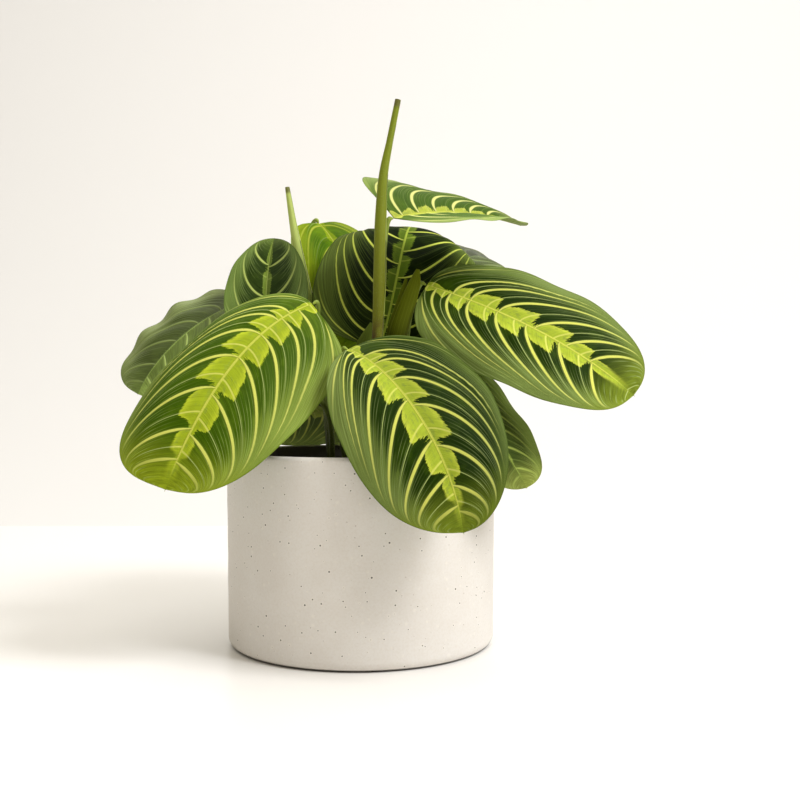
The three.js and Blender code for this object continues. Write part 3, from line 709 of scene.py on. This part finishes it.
def rolled_green(name, rolled):
    low, high, edge = rolled["greens"]
    finish = Finish(name)
    place = finish.place()
    round_way, up_way = finish.flat_place("skin")
    turn = (round_way - rolled["seam"] - rolled["twist"] * up_way) % 1
    stripe = finish.flat_noise(round_way * 22, up_way * 3, 3)
    patch = finish.flat_noise(round_way * 2, up_way * 14, 3)
    hairs = finish.noise(place, 2600, 1)
    color = finish.mix(up_way.rise(0.25, 0.85), low, high)
    color = finish.shade(color, 0.7 + 0.4 * stripe + 0.2 * patch)
    blush = finish.noise(place, 150, 2).rise(0.42, 0.6) * up_way.rise(0.42, 0.36) * up_way.rise(0.2, 0.3)
    color = finish.layered(
        color,
        (turn.rise(0.12, 0) * 0.85, edge),
        # Painted shade in the groove where the outer edge steps over the turn below it
        (turn.rise(0.94, 0.985) * 0.75, ROLLED_GROOVE_SHADE),
        (blush * 0.7, ROLLED_BLUSH),
        (up_way.rise(0.972, 0.985) * 0.8, ROLLED_TIP),
        (hairs.rise(0.6, 0.75) * 0.15, ROLLED_BLOOM),
    )
    bump = finish.bump(stripe + 0.5 * hairs, 0.15 * MM)
    return finish.done(finish.surface(color, 0.5, bump, shine=0.25))


for name, rolled in ROLLED.items():
    path, direction = smooth_path(from_soil(rolled["path"]), ROLLED_STEPS)
    points, triangles, share = tube(path, direction, ROLLED_SIDES, rolled_outline(rolled))
    finish = rolled_green(f"{name}_skin", rolled)
    spear = piece(f"{name}_wound", points, triangles, [finish], {"skin": share}, crease=50)
    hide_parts(name)
    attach(spear, "root")


# Young leaf and sheath. Between the stalks a young leaf stands folded along its midrib, with a second
# fold behind it, and a dry-edged sheath still clasps the crown that they grew from.

FOLDED_SIDES = 40
FOLDED_STEPS = 90
FOLD_SHARPNESS = 1.5
FOLD_RIBS = 5
FOLD_RIB_HEIGHT = 0.03
FOLDED = {
    "folded_young_leaf": [
        dict(
            path=((12, 1), (14, -2, 125), (17, -9, 148), (20, -13, 162), (25, -14.5, 177), (28, -14.5, 186),
                  (29.5, -14, 192.5)),
            half=((1.8, 1.6), (1.8, 1.6), (2.2, 1.6), (4.6, 2), (4.8, 1.8), (4, 1.5), (3, 1.1), (1, 0.6)),
        ),
        dict(
            path=((12, 1), (14, -2, 125), (15.5, -8.5, 148), (17, -10.5, 162), (20.5, -11, 176),
                  (23.5, -11, 188)),
            half=((1.8, 1.6), (1.8, 1.6), (2.2, 1.6), (3.2, 1.4), (3.2, 1.2), (2.2, 1), (0.8, 0.6)),
        ),
    ],
    "sheath": [
        dict(
            path=((1, -12), (0, -13, 118), (0, -14, 140), (2, -14.5, 154), (6, -15, 165)),
            half=((1.8, 1.6), (1.8, 1.6), (2.6, 1.5), (4.2, 1.5), (4, 1.3), (1, 0.6)),
        ),
    ],
}


def folded_outline(fold):
    """A lens-shaped section with sharp edges along X, and shallow ribs along it where the veins lie."""
    def outline(way, angle):
        wide, deep = half_at(fold["half"], way)
        flat = np.sign(np.sin(angle)) * np.abs(np.sin(angle)) ** FOLD_SHARPNESS
        ribs = 1 + FOLD_RIB_HEIGHT * np.cos(FOLD_RIBS * np.cos(angle) * np.pi)
        return wide * np.cos(angle), deep * flat * ribs
    return outline


def folded_green(name, low, high, vein):
    finish = Finish(name)
    round_way, up_way = finish.flat_place("skin")
    across = (round_way * 2 * math.pi).cosine()
    line = abs((across * 2.5 + up_way * 1.5) % 1 - 0.5)
    stripe = finish.flat_noise(across * 12, up_way * 4, 3)
    color = finish.mix(up_way.rise(0.2, 0.8), low, high)
    color = finish.shade(color, 0.75 + 0.5 * stripe)
    color = finish.mix(line.rise(0.1, 0.04) * 0.2, color, vein)
    color = finish.mix(abs(across).rise(0.95, 0.99) * 0.6, color, vein)
    bump = finish.bump(stripe, 0.12 * MM)
    return finish.done(finish.surface(color, 0.5, bump, shine=0.08))


FOLDED_FINISH = {
    "folded_young_leaf": ("young_green", paint(64, 72, 4), paint(92, 102, 10), paint(140, 150, 48)),
    "sheath": ("sheath_green", paint(64, 74, 22), paint(88, 104, 32), paint(120, 134, 54)),
}
for name, folds in FOLDED.items():
    tubes = []
    for fold in folds:
        path, direction = smooth_path(from_soil(fold["path"]), FOLDED_STEPS)
        tubes.append(tube(path, direction, FOLDED_SIDES, folded_outline(fold)))
    points, triangles, share = zip(*tubes)
    firsts = np.cumsum([0, *map(len, points)])
    triangles = np.concatenate([faces + first for faces, first in zip(triangles, firsts)])
    maps = {"skin": np.concatenate(share)}
    finish = folded_green(*FOLDED_FINISH[name])
    young = piece(f"{name}_furled", np.concatenate(points), triangles, [finish], maps, crease=50)
    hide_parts(name)
    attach(young, "root")


# Blades. Each leaf's blade is half a millimetre of soft tissue, quilted between veins that sweep from the
# midrib to the margin and curve along it to the tip. Its pattern is its own colour: lime veins and a
# jagged lime band on the midrib, dark green blotches beside the band, and grey green out to the margin,
# whose grey is partly a painted sheen. Each leaf's tones, each half's lightness and the undersides are
# painted lighter or darker for how they are lit.

BLADE_ROWS = 140
BLADE_COLUMNS = 26
BLADE_THICKNESS = 0.5 * MM
MARGIN_THICKNESS = 0.16 * MM
KEEL_DEPTH = 0.7 * MM
KEEL_WIDTH = 0.9 * MM
QUILT = 0.35 * MM
BASE_START = 0.004
TIP_END = 0.9995
TIP_POINT = 0.025
TIP_LENGTH = 0.05
TIP_START = 0.99
TIP_THINNING = 0.08
TIP_THINNEST = 0.3
COLUMN_EASE = 1.25
FLAT_CURL = 1e-4
WAVE_SHIFT = 0.3
VEIN_REACH = 0.85
VEIN_BEND = 3.3
VEIN_EASE = 3.6
VEINS_END = 1.08
BASE_COUNT = 0.5
BASAL_VEINS = 0.9
WIDEST_SPACING = 50 * MM
LEAF_SHIFT = 20
HALF_SHIFT = 10
HALVINGS = 40
TINY = 1e-18


def half_width(station, widest, base, tip):
    """The half width's share of its greatest: a superellipse about the widest place, with a short point."""
    body = np.minimum(station / TIP_START, 1)
    power = np.where(body < widest, base, tip)
    across = 2 * body ** (math.log(0.5) / math.log(widest)) - 1
    rounded = np.maximum(0, 1 - np.abs(across) ** power) ** (1 / power)
    point = np.where(station > 0.5, TIP_POINT * np.minimum(1, (1 - station) / TIP_LENGTH), 0)
    return np.maximum(rounded, point)


def vein_phase(station, across, starts):
    """Counts main veins: a whole number on each.

    A vein that leaves the midrib at u reaches the station u + (1 - u) * reach * across ^ bend, and it bends
    most near the base. u is found by halving an interval. Veins before the first fan from the base itself.
    """
    low, high = np.zeros_like(station + across), np.ones_like(station + across)
    for _ in range(HALVINGS):
        middle = (low + high) / 2
        bend = 1 + VEIN_BEND * np.exp(-VEIN_EASE * middle)
        short = middle + (1 - middle) * VEIN_REACH * across ** bend < station
        low, high = np.where(short, middle, low), np.where(short, high, middle)
    marks = [0, *starts, VEINS_END]
    counts = [BASE_COUNT, *range(1, len(marks))]
    limit = np.maximum(VEIN_REACH * across ** (1 + VEIN_BEND), TINY)
    basal = BASE_COUNT - BASAL_VEINS * (1 - np.minimum(station / limit, 1))
    return np.where(station < limit, basal, np.interp(low, marks, counts))


def blade_half(leaf, side):
    """The middle surface of one half, left (0) or right (1), its upward direction, and its maps.

    Rows run from base to tip, closer at both, and columns from midrib to margin, closer at the margin.
    Across the half the surface is an arc that leaves the midrib at the lift's angle and turns down by the
    droop. Ripple and quilting are added to it.
    """
    share = np.linspace(0, 1, BLADE_ROWS)[:, None]
    station = BASE_START + (TIP_END - BASE_START) * (0.5 * share + 0.25 * (1 - np.cos(np.pi * share)))
    across = 1 - (1 - np.linspace(0, 1, BLADE_COLUMNS)[None, :]) ** COLUMN_EASE
    half = leaf["width"] * MM / 2
    sign = 1 if side else -1
    along = midrib_direction(leaf, station[:, 0])
    start, end = (unit(np.array(face, float)) for face in leaf["face"])
    up = start * (1 - station) + end * station
    up = unit(up - along * (up * along).sum(-1, keepdims=True))
    right = np.cross(along, up)
    edge = half * half_width(station, leaf["widest"][side], *leaf["blunt"][side])
    lift = math.radians(leaf["lift"][side])
    base_droop, tip_droop = leaf["droop"][side]
    curl = np.radians(base_droop + (tip_droop - base_droop) * station) + FLAT_CURL
    turn = curl * across * edge / half
    lateral = (math.sin(lift) - np.sin(lift - turn)) * half / curl
    rise = (np.cos(lift - turn) - math.cos(lift)) * half / curl
    height, count, first = leaf["wave"]
    ripple = np.sin(2 * np.pi * (count * station + first + WAVE_SHIFT * side))
    rise = rise + height * MM * across ** 3 * ripple * np.sin(np.pi * station)
    middle = midrib_at(leaf, station[:, 0])[:, None] + sign * lateral[..., None] * right[:, None]
    middle = middle + rise[..., None] * up[:, None]
    tilt = (lift - turn)[..., None]
    normal = np.cos(tilt) * up[:, None] - sign * np.sin(tilt) * right[:, None]
    phase = vein_phase(station, across, leaf["veins"][side])
    ends = np.sin(np.pi * station) ** 0.5
    quilt = -np.cos(2 * np.pi * phase) * np.sin(np.pi * across) ** 0.7 * ends
    middle = middle + (QUILT * quilt)[..., None] * normal
    return middle, normal, phase, station + 0 * across, across + 0 * station, across * edge


def spacing_of(middle, phase):
    """How far apart two main veins are: one over the slope of the phase, measured on the surface."""
    by_row, by_column = np.gradient(middle, axis=0), np.gradient(middle, axis=1)
    rows, columns = np.gradient(phase, axis=0), np.gradient(phase, axis=1)
    e, f, g = ((a * b).sum(-1) for a, b in ((by_row, by_row), (by_row, by_column), (by_column, by_column)))
    slope = (g * rows ** 2 - 2 * f * rows * columns + e * columns ** 2) / np.maximum(e * g - f ** 2, TINY)
    return 1 / np.sqrt(np.maximum(slope, WIDEST_SPACING ** -2))


def blade_grid(leaf, number):
    """Both halves as one closed body: an upper and a lower sheet for each, and the margin between them."""
    halves = [blade_half(leaf, side) for side in (0, 1)]
    ridge = unit(halves[0][1][:, 0] + halves[1][1][:, 0])
    points, maps, triangles, parts = [], {"veins": [], "blade": [], "halfwise": []}, [], []
    rows, columns = BLADE_ROWS, BLADE_COLUMNS
    sheet = rows * columns
    numbers = np.arange(sheet).reshape(rows, columns)
    border = np.concatenate([numbers[0, :-1], numbers[:-1, -1], numbers[-1, ::-1]])
    for side, (middle, normal, phase, station, across, distance) in enumerate(halves):
        normal[:, 0] = ridge
        fine_tip = np.clip((1 - station) / TIP_THINNING, TIP_THINNEST, 1)
        thick = (BLADE_THICKNESS + (MARGIN_THICKNESS - BLADE_THICKNESS) * across ** 2) * fine_tip
        keel = KEEL_DEPTH * np.exp(-(distance / KEEL_WIDTH) ** 2) * np.sin(np.pi * station) ** 0.7
        upper = middle + (thick / 2)[..., None] * normal
        lower = middle - (thick / 2 + keel)[..., None] * normal
        first = sum(map(len, points))
        top = cells(rows, columns)
        rim = cells(2, len(border))
        rim = np.where(rim < len(border), border[rim % len(border)], sheet + border[rim % len(border)])
        faces = [top, (top + sheet)[:, ::-1], rim[:, ::-1]]
        faces = [face if side else face[:, ::-1] for face in faces]
        triangles += [face + first for face in faces]
        parts += [np.zeros(len(top)), np.ones(len(top) + len(rim))]
        points += [upper.reshape(-1, 3), lower.reshape(-1, 3)]
        veins = np.stack([phase + LEAF_SHIFT * number + HALF_SHIFT * side, across], -1).reshape(-1, 2)
        blade = np.stack([spacing_of(middle, phase) / MM, station], -1).reshape(-1, 2)
        maps["veins"] += [veins, veins]
        maps["blade"] += [blade, blade]
        maps["halfwise"] += 2 * [np.tile((leaf["pale"][side], leaf["dark"][side]), (sheet, 1))]
    maps = {key: np.concatenate(chart) for key, chart in maps.items()}
    return np.concatenate(points), np.concatenate(triangles), maps, np.concatenate(parts)


def blade_skin(name, tones, underside=False):
    """The pattern, from three maps of two numbers each.

    They are the count of main veins and the share of the way to the margin, the distance between main
    veins in millimetres and the share of the way to the tip, and how much lighter or darker this half is
    painted for how it is lit and how much farther than usual its dark blotches reach.
    """
    finish = Finish(name)
    place = finish.place()
    phase, across = finish.flat_place("veins")
    spacing, station = finish.flat_place("blade")
    painted_light_half, dark_half = finish.flat_place("halfwise")
    between = phase % 1
    streak = finish.flat_noise(phase * 15, across * 2.2, 3)
    fine = finish.flat_noise(phase * 44, across * 3, 2)
    teeth = finish.flat_noise(phase * 26, across * 9, 3, 0.7)
    mottle = finish.flat_noise(phase * 5, across * 16, 2)
    cloud = finish.noise(place, 90, 3)
    hairs = finish.noise(place, 1800, 1)

    # Past each main vein the lime band is wide at once, and it is torn back just before the next main vein
    torn = between.rise(0.62, 0.88)
    lobe = 0.1 + 0.1 * between.rise(-0.1, 0.22) + 0.03 * between.rise(0.3, 0.6) - 0.17 * torn
    length = station.rise(0, 0.2) * station.rise(1, 0.64)
    edge = lobe * (0.35 + 0.75 * length) * tones["band_width"]
    edge = edge + (teeth - 0.5) * (0.13 + 0.2 * torn) * length + 0.16 * station.rise(0.08, 0)
    softness = 0.012 + 0.14 * station.rise(0.8, 0.97)
    lime = ((edge - across) / softness).rise(-0.6, 0.8) * station.rise(0.99, 0.9)
    glow = finish.layered(
        tones["band"],
        ((across / edge).rise(0.5, 1), tones["band_edge"]),
        (mottle.rise(0.5, 0.66) * 0.4, tones["outer"]),
    )
    glow = finish.shade(glow, 0.44 + 0.4 * cloud + 0.3 * streak + 0.42 * fine)

    # Beside the band lie the dark blotches, and grey green with fine lines runs from them to the margin;
    # its grey is partly a painted sheen
    usual_reach = 0.64 + dark_half
    reach = usual_reach + (streak - 0.5) * 0.9 + (cloud - 0.5) * 0.6
    dark = (across - reach).rise(0.12, -0.12) * station.rise(1, 0.86)
    dark = dark * (0.5 + 0.5 * station.rise(0.02, 0.3))
    pale = (across - usual_reach - (streak - 0.5) * 0.5).rise(-0.16, 0.22)
    lines = abs((phase * 9) % 1 - 0.5).rise(0.3, 0.5) * spacing.rise(2, 6)
    color = finish.layered(
        tones["field"],
        (dark * (1.3 - 0.6 * cloud.rise(0.4, 0.7)), tones["dark"]),
        (pale, tones["outer"]),
        (station.rise(0.78, 1) * 0.8, tones["tip"]),
        (lines * streak.rise(0.4, 0.56) * across.rise(0.15, 0.6) * 0.55, tones["outer_line"]),
    )
    color = finish.shade(color, 0.9 * streak + 1.1 * fine)

    # Main veins thin out towards the margin and the tip, and a finer one runs between each two of them
    off_main = abs((phase + 0.5) % 1 - 0.5) * spacing
    width = (0.075 * spacing).smaller(0.28 + 0.4 * across.rise(0, 0.2) - 0.34 * across.rise(0.35, 1))
    width = width * tones["vein_width"]
    fade = across.rise(0.99, 0.8) * spacing.rise(1, 3.2) * station.rise(0, 0.02)
    fade = fade * (0.35 + 0.65 * station.rise(0.99, 0.85))
    main = (off_main - width).rise(0.22, -0.12) * fade
    main_glow = (off_main - width).rise(0.9, 0) * 0.3 * fade
    minor_width = 0.14 + 0.22 * lime - 0.1 * across
    minor = (abs(between - 0.6) * spacing - minor_width).rise(0.2, -0.04)
    minor = minor * (across - 0.3 * (cloud - 0.5)).rise(0.82, 0.45)
    rib = (across - 0.011).rise(0.008, -0.003) * station.rise(0.97, 0.85)
    vein = finish.mix(across.rise(0.4, 1) * 0.5, tones["vein"], tones["outer_line"])
    color = finish.layered(
        color,
        (lime, glow),
        (main_glow, tones["outer"]),
        (minor * tones["minor_share"], finish.mix(lime, tones["minor"], tones["vein"])),
        (main * tones["vein_share"], vein),
        (rib, tones["rib"]),
        (across.rise(0.975, 0.99) * 0.5, tones["field"]),
    )
    # Painted light: each half is made lighter or darker for how it is lit
    color = finish.shade(color, painted_light_half)
    # The underside is painted dark, as in shade; the sunlit tone's is lighter
    if underside:
        color = finish.mix(0.62, color, tones["under"])
    height = 0.5 * streak + 0.3 * fine + 0.25 * hairs + 0.8 * main + 0.7 * rib + 0.15 * lines
    bump = finish.bump(height, 0.3 * MM)
    roughness = tones["roughness"] + 0.12 * (fine - 0.5) + 0.05 * hairs
    skin = finish.surface(color, roughness, bump, shine=tones["shine"])
    through = finish.node("ShaderNodeBsdfTranslucent", None, {"Color": tones["through"]})
    share = tones["glow"] * (0.7 + 0.6 * lime)
    return finish.done(finish.node("ShaderNodeMixShader", None, {0: share, 1: skin, 2: through}))


def toned(base, **changes):
    """A leaf's tones: the base's, but for those named. Three numbers are a colour as seen on a screen."""
    return base | {key: paint(*tone) if isinstance(tone, tuple) else tone for key, tone in changes.items()}


# Each tone is one leaf colouring with painted light: shade, dim and low are painted darker for leaves in
# shadow, sunlit lighter for a leaf in full light, bright with the painted glow of a backlit leaf, and back
# paler and greyer for a painted sheen.
TONES = {}
TONES["front"] = toned(
    {}, vein=(214, 218, 102), rib=(204, 210, 84), minor=(176, 192, 112), band=(168, 186, 54),
    band_edge=(196, 208, 68), dark=(30, 50, 2), field=(66, 90, 12), outer=(116, 134, 66),
    outer_line=(154, 170, 106), tip=(124, 140, 38), under=(70, 84, 34), through=(150, 190, 40),
    roughness=0.5, shine=0.05, glow=0.08, band_width=1, minor_share=0.85, vein_share=1, vein_width=1,
)
TONES["warm"] = toned(
    TONES["front"], dark=(62, 90, 2), field=(94, 120, 18), outer=(132, 152, 62), outer_line=(164, 182, 98),
    tip=(142, 156, 30), band=(160, 178, 36), band_edge=(190, 204, 48),
)
TONES["sunlit"] = toned(
    TONES["warm"], dark=(70, 100, 26), field=(98, 126, 40), outer=(140, 160, 80), vein=(230, 232, 140),
    band=(190, 202, 74), band_edge=(204, 212, 88), tip=(160, 172, 100), under=(130, 148, 72),
    band_width=0.5, minor_share=0.2, vein_width=1.15,
)
TONES["shade"] = toned(
    TONES["front"], dark=(8, 18, 0), field=(31, 43, 7), outer=(62, 74, 26), outer_line=(88, 106, 44),
    vein=(152, 160, 66), minor=(84, 100, 38), band=(64, 82, 16), band_edge=(76, 94, 22), rib=(120, 134, 46),
    tip=(28, 38, 8), shine=0.02, glow=0.04, band_width=0.5, minor_share=0.3, vein_width=0.85,
)
TONES["dim"] = toned(
    TONES["front"], dark=(30, 44, 8), field=(54, 70, 20), outer=(84, 102, 46), outer_line=(112, 128, 74),
    vein=(150, 162, 84), minor=(96, 112, 52), band=(82, 98, 34), band_edge=(90, 106, 38),
    rib=(116, 130, 58), tip=(72, 88, 32), shine=0.04, glow=0.05, band_width=0.45, minor_share=0.25,
    vein_share=0.75, vein_width=0.8,
)
TONES["low"] = toned(
    TONES["dim"], dark=(34, 44, 10), field=(56, 68, 24), outer=(86, 100, 46), outer_line=(112, 120, 66),
    tip=(84, 90, 36), band=(68, 80, 28), band_edge=(70, 82, 30), vein=(114, 124, 56), rib=(88, 98, 40),
    vein_share=0.55, band_width=0.3,
)
TONES["bright"] = toned(
    TONES["front"], dark=(74, 110, 8), field=(114, 144, 14), outer=(142, 162, 30),
    outer_line=(170, 186, 56), vein=(190, 200, 70), band=(146, 168, 26), band_edge=(152, 174, 30),
    tip=(130, 150, 26), glow=0.25, vein_share=0.7, band_width=0.5, minor_share=0.4,
)
TONES["back"] = toned(
    TONES["front"], dark=(58, 70, 26), field=(78, 92, 40), outer=(108, 120, 70), outer_line=(134, 144, 102),
    vein=(118, 134, 68), minor=(104, 120, 66), band=(84, 100, 42), band_edge=(88, 104, 46),
    rib=(96, 112, 54), tip=(90, 106, 48), roughness=0.42, shine=0.25, glow=0.06, vein_share=0.6,
    band_width=0.1, minor_share=0, vein_width=0.7,
)
LEAF_TONES = {
    "front_left": "warm", "top_right": "sunlit", "centre_back": "shade", "left_small": "dim",
    "right_low": "low", "back_bright": "bright", "left_drooping": "back", "back_right": "back",
}
skins = {
    tone: [blade_skin(f"blade_{tone}_{face}", tones, face == "lower") for face in ("upper", "lower")]
    for tone, tones in TONES.items()
}
for number, (name, leaf) in enumerate(LEAVES.items()):
    tone = LEAF_TONES.get(name, "front")
    points, triangles, maps, parts = blade_grid(leaf, number)
    blade = piece(f"blade_{name}", points, triangles, skins[tone], maps, parts, crease=70)
    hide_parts(f"leaf_{name}")
    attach(blade, "root")


# Stage. The pot stands on a pale, faintly glossy floor, and a pale wall sweeps up not far behind it.
# A large soft lamp stands at the upper right, a larger one hangs above, and the bright room fills the
# shadows.

STAGE_HALF = 4
WALL_START = 0.47
WALL_SLOPE = 10
SWEEP_RADIUS = 1
SWEEP_STEPS = 40
KEY_WHITE = paint(252, 252, 255)
CEILING_WHITE = paint(255, 251, 242)
ROOM_WHITE = paint(255, 245, 228)
CAMERA_PLACE = (20.3 * MM, -527 * MM, 125.5 * MM)


def ruled(name, profile, color, roughness):
    """A plain sheet: the profile of Y and Z drawn along X."""
    sides = [np.insert(np.array(profile, float), 0, x, axis=1) for x in (-STAGE_HALF, STAGE_HALF)]
    points = np.stack(sides, axis=1).reshape(-1, 3)
    finish = Finish(name)
    material = finish.done(finish.surface(color, roughness))
    made = piece(name, points, cells(len(profile), 2)[:, ::-1], [material])


ruled("floor", [(-STAGE_HALF, 0), (WALL_START, 0)], paint(245, 243, 239), roughness=0.32)
bend = np.radians(np.linspace(WALL_SLOPE, 90, SWEEP_STEPS))
back = WALL_START + SWEEP_RADIUS * (np.sin(bend) - np.sin(bend[0]))
up = SWEEP_RADIUS * (np.cos(bend[0]) - np.cos(bend))
ruled("wall", [*zip(back, up), (back[-1], STAGE_HALF)], paint(228, 227, 225), roughness=0.8)


def lamp(name, color, place, target, size, power):
    """A square soft light, turned to a target."""
    light = bpy.data.lights.new(name, "AREA")
    light.shape = "SQUARE"
    light.size = size
    light.energy = power
    light.color = color[:3]
    made = bpy.data.objects.new(name, light)
    made.location = place
    made.rotation_euler = (Vector(target) - Vector(place)).to_track_quat("-Z", "Y").to_euler()
    bpy.context.scene.collection.objects.link(made)


lamp("key_light", KEY_WHITE, place=(1.31, -0.68, 1.75), target=(0, 0, 0.12), size=0.8, power=43)
lamp("ceiling_light", CEILING_WHITE, place=(-0.3, 0.1, 2.2), target=(-0.3, 0.1, 0), size=2.4, power=30)

room = bpy.data.worlds.new("room")
room.use_nodes = True
bpy.context.scene.world = room
background = room.node_tree.nodes["Background"]
background.inputs["Color"].default_value = ROOM_WHITE
background.inputs["Strength"].default_value = 0.3

camera_data = bpy.data.cameras.new("camera")
camera_data.sensor_width = 36
camera_data.lens = 45
camera = bpy.data.objects.new("camera", camera_data)
camera.location = CAMERA_PLACE
camera.rotation_euler = (math.pi / 2, 0, 0)
bpy.context.scene.collection.objects.link(camera)
bpy.context.scene.camera = camera
bpy.context.scene.view_settings.view_transform = "Standard"
